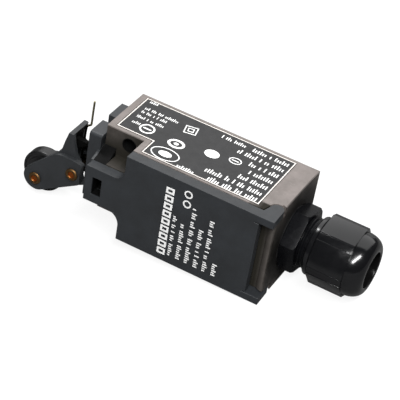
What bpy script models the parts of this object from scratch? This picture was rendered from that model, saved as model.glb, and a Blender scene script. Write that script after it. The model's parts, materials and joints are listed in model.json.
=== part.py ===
"""Limit switch with a roller lever head, a plastic housing and a screwed cable gland.

Millimetres are used for the design and turned into metres when a mesh is made. The design axes
are X along the switch towards the cable gland, Y from the front cover back to the mounting face
and Z across the width, up through the side that carries the label. The gland end of the housing
is near X = 0, the front face is Y = 0 and the lower side is Z = 0. An empty carries every piece,
so that the middle of the bottom of the whole switch lands on the world's origin.
"""

import math

import bmesh
import bpy
from mathutils import Matrix, Vector

MM = 0.001
GAP = 0.3                   # clearance left between neighbouring pieces
SEGMENTS = 32               # sides of a round piece

# Housing
HEAD_END = -58.3
GLAND_END = 0.8
WIDTH = 30.0
DEPTH = 30.0
MIDDLE = WIDTH / 2
LINE_Y = 17.2               # depth of the plunger, the head and the gland
COVER_DEPTH = 3.4
COVER_END = -3.3
WALL = 2.6
HOLE_X = -50.5              # mounting holes
HOLE_SPACING = 22.0
HOLE_RADIUS = 2.15
NOTCH_X = -46.0             # the head end of the housing is notched on both sides
NOTCH_DEPTH = 9.8
NECK_WIDTH = 12.2
NECK_LOW = MIDDLE - NECK_WIDTH / 2
NECK_HIGH = MIDDLE + NECK_WIDTH / 2
CAVITY_HEAD = -44.5
CAVITY_GLAND = -9.0
CAVITY_BACK = 27.5
HINGE_X = -1.1
HINGE_Y = 6.1
LUG_RADIUS = 2.05
LUG_THICK = 2.4
SWING_RADIUS = 4.15         # the cover edge between the lugs is hollowed to this about the hinge

# Head and lever
FLANGE_FRONT = -62.7
SHANK_END = -52.3
SHANK_RADIUS = 6.5
PIVOT_X = -68.8
PIVOT_Z = 5.8
AXLE_X = -81.2
AXLE_Z = -1.6
ROLLER_RADIUS = 6.9
ROLLER_WIDTH = 4.5
CHEEK_NEAR = (11.35, 13.05)
CHEEK_FAR = (21.85, 23.05)
HOOD_NEAR = (12.85, 14.05)
HOOD_FAR = (20.35, 21.55)
HOOD_TOP = 18.6
RIVET_RADIUS = 1.4
RIVET_BORE = 0.85
RIVET_HEAD = 2.05
TRAVEL = 3.3                # plunger stroke

# Plunger and contact block
PLUNGER_TIP = -67.4
PLUNGER_END = -43.9
BLOCK_FRONT = 12.6
BLOCK_BACK = 27.2
BLOCK_HEAD = -44.2
BLOCK_GLAND = -14.2
CARRIER_HEAD = -43.5
CARRIER_GLAND = -21.5
CHAMBERS = ((-42.0, -34.5), (-30.0, -22.0))
NC_X = -39.5
NO_X = -23.5
NC_BRIDGE = -39.5
NO_BRIDGE = -28.6
BRIDGE_THICK = 0.8
TERMINAL_OFFSET = 8.8       # terminal screws, either side of the middle

# Cable gland
GLAND_HEX_RADIUS = 10.35
GLAND_HEX_TURN = -16.0      # degrees from the label side
GLAND_HEX_END = 5.9
GLAND_THREAD = 7.8
GLAND_BORE = 5.2
NUT_START = 8.4
NUT_FLATS = 10.9
NUT_FLATS_END = 21.3
NUT_END = 26.5
NUT_FLAT_DISTANCE = 9.8
NUT_HALF_FLAT = 4.15
NUT_TURN = 5.0
NUT_OPENING = 5.4

LOWEST = AXLE_Z - ROLLER_RADIUS
LEFTMOST = AXLE_X - ROLLER_RADIUS
ORIGIN = Vector((-(LEFTMOST + NUT_END) / 2, -DEPTH / 2, -LOWEST)) * MM

COLOURS = {
    "housing_grey": ((0.42, 0.39, 0.35), 0.55, 0.0),
    "cover_blue_grey": ((0.085, 0.095, 0.11), 0.5, 0.0),
    "lever_blue_grey": ((0.07, 0.078, 0.09), 0.5, 0.0),
    "roller_black": ((0.015, 0.016, 0.018), 0.4, 0.0),
    "gland_black": ((0.02, 0.021, 0.023), 0.3, 0.0),
    "rubber_black": ((0.012, 0.012, 0.012), 0.8, 0.0),
    "label_black": ((0.03, 0.03, 0.032), 0.5, 0.0),
    "brass": ((0.62, 0.42, 0.2), 0.35, 1.0),
    "steel": ((0.5, 0.5, 0.48), 0.35, 1.0),
    "insulator_ivory": ((0.6, 0.56, 0.46), 0.5, 0.0),
    "plunger_white": ((0.7, 0.7, 0.68), 0.45, 0.0),
    "claw_grey": ((0.35, 0.36, 0.37), 0.45, 0.0),
}


# ---------------------------------------------------------------- scene and materials

def clear_scene():
    for item in list(bpy.data.objects):
        bpy.data.objects.remove(item, do_unlink=True)


def make_material(name):
    colour, roughness, metallic = COLOURS[name]
    material = bpy.data.materials.new(name)
    material.use_nodes = True
    shader = material.node_tree.nodes["Principled BSDF"]
    shader.inputs["Base Color"].default_value = (*colour, 1.0)
    shader.inputs["Roughness"].default_value = roughness
    shader.inputs["Metallic"].default_value = metallic
    material.diffuse_color = (*colour, 1.0)
    return material


def make_frame():
    frame = bpy.data.objects.new("switch_frame", None)
    frame.location = ORIGIN
    bpy.context.scene.collection.objects.link(frame)
    return frame


# ---------------------------------------------------------------- shapes, in millimetres

def along(axis, value, first, second):
    """A point with value on axis and first and second on the other two, in alphabetical order."""
    if axis == "X":
        return Vector((value, first, second))
    if axis == "Y":
        return Vector((first, value, second))
    return Vector((first, second, value))


def prism(outline, axis, low, high):
    """The outline, a loop of two coordinates, extruded along axis from low to high."""
    mesh = bmesh.new()
    face = mesh.faces.new([mesh.verts.new(along(axis, low, a, b)) for a, b in outline])
    grown = bmesh.ops.extrude_face_region(mesh, geom=[face])
    moved = [item for item in grown["geom"] if isinstance(item, bmesh.types.BMVert)]
    bmesh.ops.translate(mesh, verts=moved, vec=along(axis, high - low, 0, 0))
    bmesh.ops.recalc_face_normals(mesh, faces=mesh.faces)
    return mesh


def block(x_range, y_range, z_range):
    corners = [(x_range[0], y_range[0]), (x_range[1], y_range[0]),
               (x_range[1], y_range[1]), (x_range[0], y_range[1])]
    return prism(corners, "Z", *z_range)


def turned(profile, axis, centre, segments=SEGMENTS):
    """A profile of (place along the axis, radius) points turned about an axis through centre."""
    mesh = bmesh.new()
    loop = [mesh.verts.new(along(axis, place, radius, 0)) for place, radius in profile]
    edges = [mesh.edges.new((a, b)) for a, b in zip(loop, loop[1:])]
    if min(radius for _, radius in profile) > 0:
        edges.append(mesh.edges.new((loop[-1], loop[0])))
    bmesh.ops.spin(mesh, geom=loop + edges, cent=(0, 0, 0), axis=along(axis, 1, 0, 0),
                   angle=math.tau, steps=segments, use_merge=True, use_duplicate=False)
    bmesh.ops.remove_doubles(mesh, verts=mesh.verts, dist=0.0005)
    bmesh.ops.recalc_face_normals(mesh, faces=mesh.faces)
    bmesh.ops.translate(mesh, verts=mesh.verts, vec=along(axis, 0, *centre))
    return mesh


def rod(radius, axis, centre, low, high, segments=SEGMENTS):
    return turned([(low, 0), (low, radius), (high, radius), (high, 0)], axis, centre, segments)


def tube(inner, outer, axis, centre, low, high, segments=SEGMENTS):
    return turned([(low, inner), (low, outer), (high, outer), (high, inner)],
                  axis, centre, segments)


def arc(centre, radius, start, stop, steps):
    """Points on an arc, with angles in degrees from the first coordinate's axis."""
    angles = [math.radians(start + (stop - start) * i / steps) for i in range(steps + 1)]
    return [(centre[0] + radius * math.cos(a), centre[1] + radius * math.sin(a)) for a in angles]


def polygon(radius, sides, turn, centre):
    """Corners in the YZ plane, with turn in degrees from +Z towards the front."""
    corners = []
    for index in range(sides):
        angle = math.radians(turn + 360 / sides * (index + 0.5))
        corners.append((centre[0] - radius * math.sin(angle), centre[1] + radius * math.cos(angle)))
    return corners


def sweep(points, radius, sides=8):
    """A round wire along a smooth list of points."""
    mesh = bmesh.new()
    rings = []
    normal = Vector((0.0, 1.0, 0.0))
    for index, point in enumerate(points):
        before = points[max(index - 1, 0)]
        after = points[min(index + 1, len(points) - 1)]
        tangent = (after - before).normalized()
        normal = (normal - normal.dot(tangent) * tangent).normalized()
        side = tangent.cross(normal)
        ring = []
        for step in range(sides):
            angle = math.tau * step / sides
            offset = normal * math.cos(angle) + side * math.sin(angle)
            ring.append(mesh.verts.new(point + offset * radius))
        rings.append(ring)
    for low, high in zip(rings, rings[1:]):
        for step in range(sides):
            after = (step + 1) % sides
            mesh.faces.new((low[step], low[after], high[after], high[step]))
    mesh.faces.new(rings[0])
    mesh.faces.new(rings[-1])
    bmesh.ops.recalc_face_normals(mesh, faces=mesh.faces)
    return mesh


def helix(axis_point, radius, length, turns, per_turn=12, ends=True):
    """Points of a compression spring along X, with closed end turns where ends is set."""
    count = int(turns * per_turn)
    points = []
    for index in range(count + 1):
        share = index / count
        if ends:
            share = share - math.sin(math.tau * share) / math.tau * 0.55
        angle = math.tau * index / per_turn
        points.append(Vector((axis_point[0] + length * share,
                              axis_point[1] + radius * math.cos(angle),
                              axis_point[2] + radius * math.sin(angle))))
    return points


# ---------------------------------------------------------------- objects

class Builder:
    """Turns the shapes into named objects under the switch's frame."""

    def __init__(self):
        self.frame = make_frame()
        self.materials = {name: make_material(name) for name in COLOURS}
        self.tools = 0

    def add(self, name, shape, material, pivot=(0.0, 0.0, 0.0)):
        """A sub-part whose origin is at pivot."""
        item = self._place(name, shape, pivot)
        item.data.materials.append(self.materials[material])
        item.data.shade_smooth()
        item.data.set_sharp_from_angle(angle=math.radians(35))
        return item

    def _place(self, name, shape, pivot):
        bmesh.ops.transform(shape, matrix=Matrix.Translation(-Vector(pivot)), verts=shape.verts)
        bmesh.ops.scale(shape, vec=(MM, MM, MM), verts=shape.verts)
        data = bpy.data.meshes.new(name)
        shape.to_mesh(data)
        shape.free()
        item = bpy.data.objects.new(name, data)
        item.location = Vector(pivot) * MM
        item.parent = self.frame
        bpy.context.scene.collection.objects.link(item)
        return item

    def _combine(self, target, shape, operation):
        self.tools += 1
        tool = self._place(f"tool_{self.tools:03d}", shape, (0.0, 0.0, 0.0))
        tool.hide_render = True
        tool.display_type = "WIRE"
        change = target.modifiers.new(operation.lower(), "BOOLEAN")
        change.operation = operation
        change.object = tool
        change.solver = "EXACT"

    def cut(self, target, *shapes):
        for shape in shapes:
            self._combine(target, shape, "DIFFERENCE")

    def join(self, target, *shapes):
        for shape in shapes:
            self._combine(target, shape, "UNION")

    @staticmethod
    def soften(target, width, segments=2):
        """Rounds the sharp edges that the object has so far."""
        bevel = target.modifiers.new("soften", "BEVEL")
        bevel.width = width * MM
        bevel.segments = segments
        bevel.limit_method = "ANGLE"
        bevel.angle_limit = math.radians(50)


# ---------------------------------------------------------------- outlines shared by pieces

def cover_outline():
    """Front view of the cover in X and Z, with the neck's rounded inner corners."""
    lower, upper = 4.0, 3.0
    outline = [(COVER_END, LUG_THICK + GAP), (COVER_END, WIDTH - LUG_THICK - GAP),
               (COVER_END - 1.4, WIDTH - LUG_THICK - GAP), (COVER_END - 1.4, WIDTH),
               (NOTCH_X, WIDTH)]
    outline += arc((NOTCH_X - upper, NECK_HIGH + upper), upper, 0, -90, 6)
    outline += [(HEAD_END, NECK_HIGH), (HEAD_END, NECK_LOW)]
    outline += arc((NOTCH_X - lower, NECK_LOW - lower), lower, 90, 0, 6)
    outline += [(NOTCH_X, 0.0), (COVER_END - 1.4, 0.0), (COVER_END - 1.4, LUG_THICK + GAP)]
    return outline


def lug_outline(margin=0.0):
    """Side view of a hinge lug in X and Y, ending round behind its hinge axis."""
    radius = LUG_RADIUS + margin
    outline = [(-5.2 - margin, -margin), (1.1 + margin, -margin)]
    outline += arc((HINGE_X, HINGE_Y), radius, 0, 180, 10)
    outline += [(-3.9 - margin, COVER_DEPTH + margin), (-5.2 - margin, COVER_DEPTH + margin)]
    return outline


def lip_outline():
    """The housing's low rounded lip between the lugs, in X and Y."""
    return [(GLAND_END, 2.75), (0.2, 2.65), (-0.6, 2.85), (-1.4, 3.3), (-2.0, 3.95),
            (-2.4, 4.8), (-2.4, 6.0), (GLAND_END, 6.0)]


def label_outline(margin=0.0):
    return [(-56.1 - margin, 11.3 - margin), (-44.0 - margin, 11.3 - margin),
            (-44.0 - margin, 4.7 - margin), (-6.3 + margin, 4.7 - margin),
            (-6.3 + margin, 28.9 + margin), (-56.1 - margin, 28.9 + margin)]


CHEEK_PIVOT_END = ((-66.5, 2.6), (-66.1, 3.2), (-66.3, 6.4), (-66.2, 7.5), (-65.7, 9.8),
                   (-66.4, 10.2), (-67.9, 10.5), (-70.0, 10.7), (-72.8, 10.7), (-74.2, 10.4),
                   (-75.9, 9.6))


def cheek_outline():
    """Side view of the near cheek in X and Z, round at the roller and straight along its edges."""
    return arc((AXLE_X, AXLE_Z), 4.2, 135, 302, 14) + list(CHEEK_PIVOT_END)


def far_cheek_outline():
    """Side view of the far cheek, with a smaller eye at the roller and a waist beside it."""
    waist = [(-76.4, 7.4), (-77.2, 4.4), (-78.4, 2.9)]
    return arc((AXLE_X, AXLE_Z), 3.3, 100, 300, 14) + list(CHEEK_PIVOT_END) + waist


HOOD_BACK = ((-76.0, 9.0), (-74.1, 11.3), (-73.7, 13.1), (-73.2, 15.2), (-72.2, HOOD_TOP))
HOOD_FRONT = ((-70.6, HOOD_TOP), (-70.3, 17.0), (-69.9, 14.9), (-69.4, 13.4), (-69.0, 12.0),
              (-68.1, 10.6), (-67.3, 9.8), (-67.3, 9.0))
HOOD_FRONT_FAR = ((-71.0, HOOD_TOP), (-70.8, 17.2), (-71.4, 15.8), (-71.5, 13.9), (-70.9, 12.3),
                   (-69.9, 11.4), (-68.3, 10.4), (-67.3, 9.6), (-67.3, 9.0))


def rib_outline():
    """The rib inside the hood, in X and Z: a web with a round nose that pushes the plunger."""
    nose = arc((PLUNGER_TIP - GAP - 0.75, MIDDLE - 0.85), 0.75, -60, 90, 8)
    return nose + [(-71.0, 14.9), (-72.6, 15.4), (-73.2, 12.6), (-72.8, 10.4)]


def ear_outline():
    """A head ear in X and Z: a round eye on the lever's pivot and a low arm to the flange."""
    outline = arc((PIVOT_X, PIVOT_Z), 2.2, -20, 220, 14)
    outline += [(-69.6, 1.3), (-67.8, 0.9), (-65.5, 2.1), (-62.5, 3.9), (-62.5, 6.6),
                (-64.6, 4.0), (-66.2, 3.6)]
    return outline


# ---------------------------------------------------------------- housing and cover

def build_base(builder):
    shell = block((HEAD_END, GLAND_END), (COVER_DEPTH + GAP, DEPTH), (0, WIDTH))
    base = builder.add("base_housing", shell, "housing_grey")
    builder.soften(base, 0.5)
    builder.join(base, prism(lip_outline(), "Z", LUG_THICK + 2 * GAP,
                             WIDTH - LUG_THICK - 2 * GAP))
    high = arc((NOTCH_X - 3.0, NECK_HIGH + 3.0), 3.0, 0, -90, 6)
    high += [(HEAD_END - 2, NECK_HIGH), (HEAD_END - 2, WIDTH + 2), (NOTCH_X, WIDTH + 2)]
    low = arc((NOTCH_X - 4.0, NECK_LOW - 4.0), 4.0, 90, 0, 6)
    low += [(NOTCH_X, -2), (HEAD_END - 2, -2), (HEAD_END - 2, NECK_LOW)]
    builder.cut(
        base,
        prism(high, "Y", -1, NOTCH_DEPTH),
        prism(low, "Y", -1, NOTCH_DEPTH),
        block((HEAD_END - 2, -54.1), (-1, NOTCH_DEPTH), (NECK_LOW - 1, NECK_HIGH + 1)),
        block((-54.6, -52.0), (-1, 9.0), (11.3, 18.2)),
        block((CAVITY_HEAD, CAVITY_GLAND), (-1, CAVITY_BACK), (WALL, WIDTH - WALL)),
        block((-52.3, CAVITY_HEAD + 1), (-1, CAVITY_BACK - 3), (10.4, 19.6)),
        rod(SHANK_RADIUS + GAP, "X", (LINE_Y, MIDDLE), HEAD_END - 1, CAVITY_HEAD + 1),
        rod(GLAND_THREAD + GAP, "X", (LINE_Y, MIDDLE), CAVITY_GLAND - 1, GLAND_END + 1),
        rod(9.3, "X", (LINE_Y, MIDDLE), GLAND_END - 1.0, GLAND_END + 1),
    )
    for sign in (-1, 1):
        height = MIDDLE + sign * HOLE_SPACING / 2
        builder.cut(base, rod(HOLE_RADIUS, "Y", (HOLE_X, height), NOTCH_DEPTH - 2, DEPTH + 1, 24))
    for low_z, high_z in ((-1, LUG_THICK + GAP), (WIDTH - LUG_THICK - GAP, WIDTH + 1)):
        swing = arc((HINGE_X, HINGE_Y), LUG_RADIUS + 0.9, 0, 80, 6) + [(HINGE_X, HINGE_Y)]
        builder.cut(base, prism(lug_outline(GAP), "Z", low_z, high_z),
                    prism(swing, "Z", low_z, high_z))
    reach = LUG_THICK + GAP + 2.0
    for low_z, high_z in ((LUG_THICK, reach), (WIDTH - reach, WIDTH - LUG_THICK)):
        builder.cut(base, rod(0.9 + GAP, "Z", (HINGE_X, HINGE_Y), low_z, high_z, 16))
    builder.cut(base, prism(label_outline(GAP), "Z", WIDTH - 0.5, WIDTH + 1))
    return base


def build_cover(builder):
    pivot = (HINGE_X, HINGE_Y, MIDDLE)
    cover = builder.add("front_cover", prism(cover_outline(), "Y", 0, COVER_DEPTH),
                        "cover_blue_grey", pivot)
    builder.soften(cover, 0.4)
    lugs = ((0.0, LUG_THICK, 1.5), (WIDTH - LUG_THICK, WIDTH, -1.5))
    for low_z, high_z, inward in lugs:
        builder.join(cover, prism(lug_outline(), "Z", low_z, high_z))
        start = high_z if inward > 0 else low_z
        pin = sorted((start - inward * 0.2, start + inward))
        builder.join(cover, rod(0.9, "Z", (HINGE_X, HINGE_Y), pin[0], pin[1], 16))
    builder.cut(
        cover,
        block((CAVITY_HEAD - 0.3, -7.4), (1.6, COVER_DEPTH + 1), (1.2, WIDTH - 1.2)),
        rod(SWING_RADIUS, "Z", (HINGE_X, HINGE_Y), LUG_THICK + GAP, WIDTH - LUG_THICK - GAP, 64),
        block((-55.97, -52.9), (-1, COVER_DEPTH + 1), (11.66, 17.8)),
    )
    return cover


def build_cover_gasket(builder):
    gasket = builder.add("cover_gasket",
                         block((-44.4, -7.7), (1.95, COVER_DEPTH), (1.6, WIDTH - 1.6)),
                         "rubber_black", (HINGE_X, HINGE_Y, MIDDLE))
    builder.cut(gasket, block((-42.9, -9.2), (1, COVER_DEPTH + 1), (3.1, WIDTH - 3.1)))


def build_label(builder):
    label = prism(label_outline(), "Z", WIDTH - 0.2, WIDTH + 0.05)
    builder.add("rating_label", label, "label_black")


# ---------------------------------------------------------------- head, lever and roller

def build_head(builder):
    flange = block((FLANGE_FRONT, HEAD_END - GAP), (7.7, 26.5), (3.3, 26.7))
    head = builder.add("head_body", flange, "cover_blue_grey")
    builder.soften(head, 0.8)
    foot = [(4.2, 9.6), (9.5, 9.6), (9.5, 23.3), (8.7, 22.4), (7.2, 21.4), (5.6, 20.8), (4.2, 20.4)]
    builder.join(
        head,
        rod(SHANK_RADIUS, "X", (LINE_Y, MIDDLE), HEAD_END - 1, SHANK_END),
        prism(foot, "X", HEAD_END - 1, -54.4),
        prism(ear_outline(), "Y", 13.35, 14.65),
        prism(ear_outline(), "Y", 20.15, 21.45),
    )
    slot = (14.9, 18.3)
    builder.cut(
        head,
        block((FLANGE_FRONT - 1, HEAD_END + 1), slot, (22.5, 28)),
        block((FLANGE_FRONT - 1, HEAD_END + 1), slot, (2, 7.5)),
        rod(2.7, "X", (LINE_Y, MIDDLE), FLANGE_FRONT - 1, SHANK_END + 1, 24),
        rod(3.4, "X", (LINE_Y, MIDDLE), FLANGE_FRONT - 1, FLANGE_FRONT + 1.0, 24),
        block((-56.3, -54.0), (3.5, 8.8), (11.3, 18.2)),
        rod(RIVET_RADIUS + GAP, "Y", (PIVOT_X, PIVOT_Z), 12, 23, 24),
    )


def build_head_gasket(builder):
    builder.add("head_gasket", tube(4.6, 6.2, "X", (LINE_Y, MIDDLE), SHANK_END + GAP,
                                    SHANK_END + GAP + 1.2, 24), "rubber_black")


def build_lever(builder):
    pivot = (PIVOT_X, LINE_Y, PIVOT_Z)
    lever = builder.add("roller_lever", prism(cheek_outline(), "Y", *CHEEK_NEAR),
                        "lever_blue_grey", pivot)
    builder.soften(lever, 0.35)
    back = list(HOOD_BACK) + [(x + 1.6, z) for x, z in reversed(HOOD_BACK)]
    side = list(HOOD_BACK) + list(HOOD_FRONT)
    far_side = list(HOOD_BACK) + list(HOOD_FRONT_FAR)
    shoulder = [(-75.6, 9.0), (-74.0, 10.4), (-67.3, 10.4), (-67.3, 9.0)]
    builder.join(
        lever,
        prism(far_cheek_outline(), "Y", *CHEEK_FAR),
        prism(side, "Y", *HOOD_NEAR),
        prism(far_side, "Y", *HOOD_FAR),
        prism(rib_outline(), "Y", LINE_Y - 0.8, LINE_Y + 0.8),
        prism(back, "Y", HOOD_NEAR[0] + 0.2, HOOD_FAR[1] - 0.2),
        prism(shoulder, "Y", HOOD_FAR[0] + 0.2, CHEEK_FAR[0] + 0.4),
    )
    for place in ((PIVOT_X, PIVOT_Z), (AXLE_X, AXLE_Z)):
        builder.cut(lever, rod(RIVET_RADIUS + GAP, "Y", place, 10, 25, 24))


def build_roller(builder):
    half = ROLLER_WIDTH / 2
    hub = 2.7
    near, far = CHEEK_NEAR[1] + GAP, CHEEK_FAR[0] - GAP
    bore = RIVET_RADIUS + GAP
    profile = [(near, bore), (near, hub), (LINE_Y - half, hub),
               (LINE_Y - half, ROLLER_RADIUS - 0.5), (LINE_Y - half + 0.5, ROLLER_RADIUS),
               (LINE_Y + half - 0.5, ROLLER_RADIUS), (LINE_Y + half, ROLLER_RADIUS - 0.5),
               (LINE_Y + half, hub), (far, hub), (far, bore)]
    shape = turned(profile, "Y", (AXLE_X, AXLE_Z), 48)
    builder.add("roller", shape, "roller_black", (AXLE_X, LINE_Y, AXLE_Z))


def build_rivet(builder, name, place):
    near = CHEEK_NEAR[0] - GAP
    far = CHEEK_FAR[1] + GAP
    profile = [(near - 0.55, RIVET_BORE), (near - 0.55, RIVET_HEAD - 0.3),
               (near - 0.2, RIVET_HEAD), (near, RIVET_HEAD), (near, RIVET_RADIUS),
               (far, RIVET_RADIUS), (far, RIVET_HEAD), (far + 0.2, RIVET_HEAD),
               (far + 0.55, RIVET_HEAD - 0.3), (far + 0.55, RIVET_BORE)]
    builder.add(name, turned(profile, "Y", place, 24), "brass", (place[0], LINE_Y, place[1]))


def build_lever_spring(builder):
    """Torsion spring: turns round the pivot, one leg on the flange and one up past the hood."""
    radius = 2.0
    points = [Vector((-63.1, 18.7, 8.4)), Vector((-65.0, 18.7, 8.2)), Vector((-67.0, 18.7, 7.95))]
    turns = 2.5
    steps = 30
    for index in range(steps + 1):
        angle = math.radians(78) + math.tau * (turns - 0.283) * index / steps
        points.append(Vector((PIVOT_X + radius * math.cos(angle),
                              18.7 + 1.15 * index / steps,
                              PIVOT_Z + radius * math.sin(angle))))
    points += [Vector((-70.75, 19.85, 9.0)), Vector((-70.5, 19.8, 13.0)),
               Vector((-70.3, 19.75, 17.2)), Vector((-69.9, 19.7, 18.5)),
               Vector((-69.1, 19.7, 19.1)), Vector((-68.75, 19.7, 19.8)),
               Vector((-68.7, 19.7, 23.8)), Vector((-68.6, 19.7, 27.9))]
    builder.add("lever_spring", sweep(points, 0.3, 8), "steel")


# ---------------------------------------------------------------- plunger

def build_plunger(builder):
    profile = [(PLUNGER_TIP, 0), (PLUNGER_TIP + 0.15, 0.75), (PLUNGER_TIP + 0.5, 1.35),
               (PLUNGER_TIP + 1.1, 1.75), (PLUNGER_TIP + 1.9, 1.9), (FLANGE_FRONT, 1.9),
               (FLANGE_FRONT + 0.5, 2.35), (SHANK_END + 0.5, 2.35), (SHANK_END + 0.5, 4.2),
               (SHANK_END + 1.4, 4.2), (SHANK_END + 1.4, 1.9), (PLUNGER_END, 1.9),
               (PLUNGER_END, 0)]
    builder.add("plunger", turned(profile, "X", (LINE_Y, MIDDLE), 24), "plunger_white",
                (FLANGE_FRONT, LINE_Y, MIDDLE))
    spring = helix((SHANK_END + 1.95, LINE_Y, MIDDLE), 3.2, 5.6, 3, 12)
    builder.add("plunger_spring", sweep(spring, 0.25, 6), "steel")


def build_plunger_seal(builder):
    """Rubber wiper in the flange's recess, with a lip round the plunger."""
    bore = 1.9 + GAP
    profile = [(FLANGE_FRONT + 0.35, bore), (FLANGE_FRONT + 0.35, 3.1), (FLANGE_FRONT - 0.5, 3.1),
               (FLANGE_FRONT - 0.9, 2.9), (FLANGE_FRONT - 1.4, 2.6), (FLANGE_FRONT - 1.4, bore)]
    builder.add("plunger_seal", turned(profile, "X", (LINE_Y, MIDDLE), 24), "rubber_black")


# ---------------------------------------------------------------- contact block

def build_contact_block(builder):
    body = builder.add("contact_block_body",
                       block((BLOCK_HEAD, BLOCK_GLAND), (BLOCK_FRONT, BLOCK_BACK), (2.9, 27.1)),
                       "insulator_ivory")
    builder.cut(body, block((BLOCK_HEAD - 1, BLOCK_GLAND - 1.6), (BLOCK_FRONT - 1, 20.4),
                            (11.9, 18.1)))
    for low, high in CHAMBERS:
        builder.cut(body, block((low, high), (BLOCK_FRONT - 1, 20.4), (8.8, 21.2)))
    for place, side in terminals():
        builder.cut(body, rod(1.6, "Y", (place, side), BLOCK_FRONT - 1, 18.5, 16))
    lid = block((BLOCK_HEAD, BLOCK_GLAND), (BLOCK_FRONT - 1.8, BLOCK_FRONT - GAP), (11.2, 18.8))
    builder.add("contact_block_lid", lid, "insulator_ivory")


def terminals():
    """Centres of the four terminal screws in X and Z."""
    return [(place, MIDDLE + sign * TERMINAL_OFFSET) for place in (NC_X, NO_X)
            for sign in (-1, 1)]


def build_carrier(builder):
    pivot = (CARRIER_HEAD, LINE_Y, MIDDLE)
    carrier = builder.add("contact_carrier",
                          block((CARRIER_HEAD, CARRIER_GLAND), (14.7, 19.7), (12.5, 17.5)),
                          "plunger_white", pivot)
    builder.cut(carrier, block((-41.5, -35.5), (15.7, 18.7), (11, 19)),
                block((-33.5, -27.5), (15.7, 18.7), (11, 19)))
    for name, place in (("nc_contact_bridge", NC_BRIDGE), ("no_contact_bridge", NO_BRIDGE)):
        strip = block((place, place + BRIDGE_THICK), (16.0, 18.4), (9.2, 20.8))
        builder.add(name, strip, "brass", pivot)
    springs = (("nc_contact_spring", NC_BRIDGE + BRIDGE_THICK + 0.6, 2.0),
               ("no_contact_spring", -32.9, 3.7))
    for name, place, length in springs:
        coil = helix((place, LINE_Y, MIDDLE), 0.95, length, 3, 10)
        builder.add(name, sweep(coil, 0.2, 6), "steel", pivot)
    coil = helix((CARRIER_GLAND + 0.55, LINE_Y, MIDDLE), 1.7, 4.5, 3.5, 12)
    builder.add("carrier_return_spring", sweep(coil, 0.25, 6), "steel")


def build_terminal(builder, number, place, side, contact_x):
    """A brass terminal plate with its contact tongue, a clamp washer and a slotted screw."""
    outward = 1 if side > MIDDLE else -1
    reach = sorted((side + outward * 2.9, MIDDLE + outward * 4.5))
    plate = builder.add(f"terminal_plate_{number}",
                        block((place - 3.4, place + 3.4), (11.3, 12.3), reach), "brass")
    tongue = sorted((MIDDLE + outward * 6.0, MIDDLE + outward * 4.2))
    builder.join(plate, block((contact_x, contact_x + 0.8), (11.5, 19.0), tongue))
    builder.cut(plate, rod(1.6, "Y", (place, side), 10, 14, 16))
    clamp = builder.add(f"terminal_clamp_{number}",
                        block((place - 2.7, place + 2.7), (9.9, 10.9), (side - 2.7, side + 2.7)),
                        "steel")
    builder.cut(clamp, rod(1.6, "Y", (place, side), 9, 12, 16))
    profile = [(7.6, 0), (7.6, 2.3), (7.9, 2.5), (9.5, 2.5), (9.5, 1.3), (17.8, 1.3), (17.8, 0)]
    screw = builder.add(f"terminal_screw_{number}", turned(profile, "Y", (place, side), 16),
                        "steel")
    builder.cut(screw, block((place - 3, place + 3), (7, 8.4), (side - 0.3, side + 0.3)))


def build_terminals(builder):
    tongues = {NC_X: -40.6, NO_X: NO_BRIDGE + BRIDGE_THICK + TRAVEL + 0.4}
    for number, (place, side) in enumerate(terminals(), start=1):
        build_terminal(builder, number, place, side, tongues[place])


# ---------------------------------------------------------------- cable gland

def build_gland_body(builder):
    centre = (LINE_Y, MIDDLE)
    hexagon = prism(polygon(GLAND_HEX_RADIUS, 6, GLAND_HEX_TURN, centre), "X",
                    GLAND_END + GAP, GLAND_HEX_END)
    gland = builder.add("gland_body", hexagon, "gland_black")
    builder.soften(gland, 0.35)
    start, mouth = CAVITY_GLAND + 0.6, 14.0
    outside = [(start, 0), (start, GLAND_THREAD - 0.5), (start + 0.5, GLAND_THREAD),
               (mouth - 0.5, GLAND_THREAD), (mouth, GLAND_THREAD - 0.5), (mouth, 0)]
    bore = [(start - 1, 0), (start - 1, GLAND_BORE), (8.3, GLAND_BORE), (8.3, 6.4),
            (mouth + 1, 6.4), (mouth + 1, 0)]
    builder.join(gland, turned(outside, "X", centre))
    builder.cut(gland, turned(bore, "X", centre))
    builder.add("gland_o_ring", tube(8.2, 9.0, "X", centre, GLAND_END - 0.7, GLAND_END, 32),
                "rubber_black")


def build_gland_insides(builder):
    centre = (LINE_Y, MIDDLE)
    pivot = (0.0, LINE_Y, MIDDLE)
    seal = [(8.7, 4.6), (8.7, 6.0), (18.5, 6.0), (21.2, 5.3), (21.2, 4.6)]
    builder.add("gland_seal", turned(seal, "X", centre, 32), "rubber_black")
    ring = [(14.4, 6.4), (14.4, 7.8), (17.0, 7.8), (21.4, 6.6), (21.4, 5.8), (18.6, 6.4)]
    claw = builder.add("gland_claw", turned(ring, "X", centre, 32), "claw_grey", pivot)
    for index in range(4):
        slit = block((16.2, 23.0), (-9, 9), (-0.35, 0.35))
        turn = Matrix.Rotation(math.radians(45 * index + 12), 4, "X")
        bmesh.ops.transform(slit, matrix=turn, verts=slit.verts)
        bmesh.ops.translate(slit, vec=(0, LINE_Y, MIDDLE), verts=slit.verts)
        builder.cut(claw, slit)


def nut_outline():
    """Six wide flats with a narrow flat across each corner."""
    corners = []
    for index in range(6):
        turn = math.radians(NUT_TURN + 60 * index)
        outward = (-math.sin(turn), math.cos(turn))
        sideways = (-math.cos(turn), -math.sin(turn))
        for side in (-1, 1):
            corners.append((LINE_Y + outward[0] * NUT_FLAT_DISTANCE + sideways[0] * side
                            * NUT_HALF_FLAT,
                            MIDDLE + outward[1] * NUT_FLAT_DISTANCE + sideways[1] * side
                            * NUT_HALF_FLAT))
    return corners


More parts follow.
